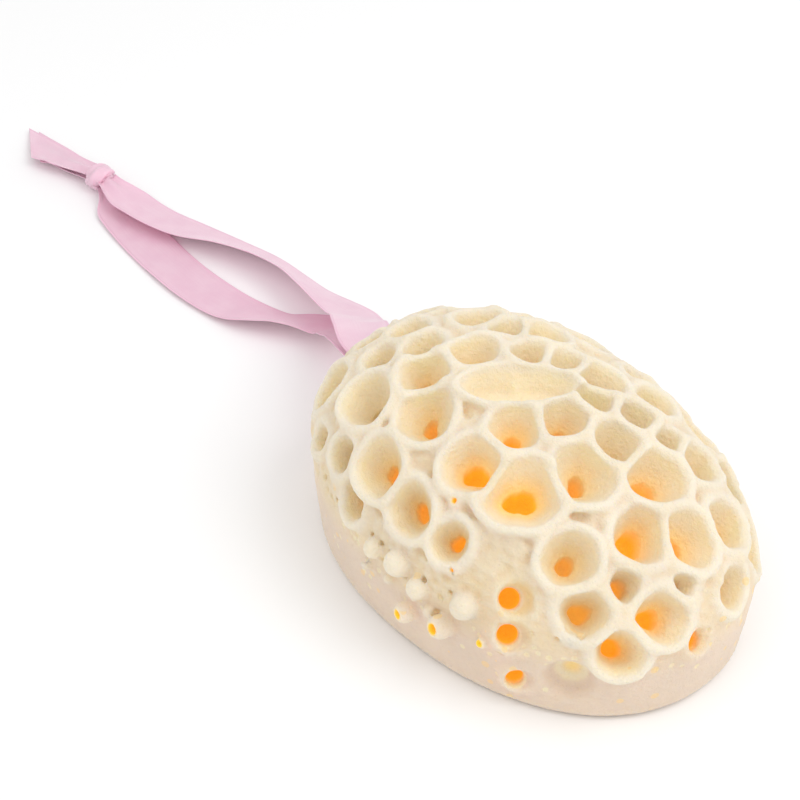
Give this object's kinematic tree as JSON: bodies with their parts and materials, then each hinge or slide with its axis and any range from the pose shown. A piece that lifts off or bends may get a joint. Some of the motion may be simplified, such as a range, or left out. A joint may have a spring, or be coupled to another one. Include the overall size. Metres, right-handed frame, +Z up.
{
  "type": "bath sponge",
  "caption": "Oval moulded foam bath sponge shaped like a natural honeycomb sea sponge, with a knotted satin ribbon loop to hang it by.",
  "frame": {"origin": "middle of the sponge's flat underside", "axes": "+Z up, X along the sponge's length with the ribbon leaving at -X, -Y the front side that carries the small knobs"},
  "size_m": [0.3113, 0.0902, 0.0592],
  "materials": {
    "foam": "matte",
    "ribbon": "satin"
  },
  "bodies": {
    "root": {"sponge_body": "foam", "ribbon_upper_strand": "ribbon", "ribbon_lower_strand": "ribbon", "ribbon_knot": "ribbon", "ribbon_upper_tail": "ribbon", "ribbon_lower_tail": "ribbon"}
  },
  "joints": []
}
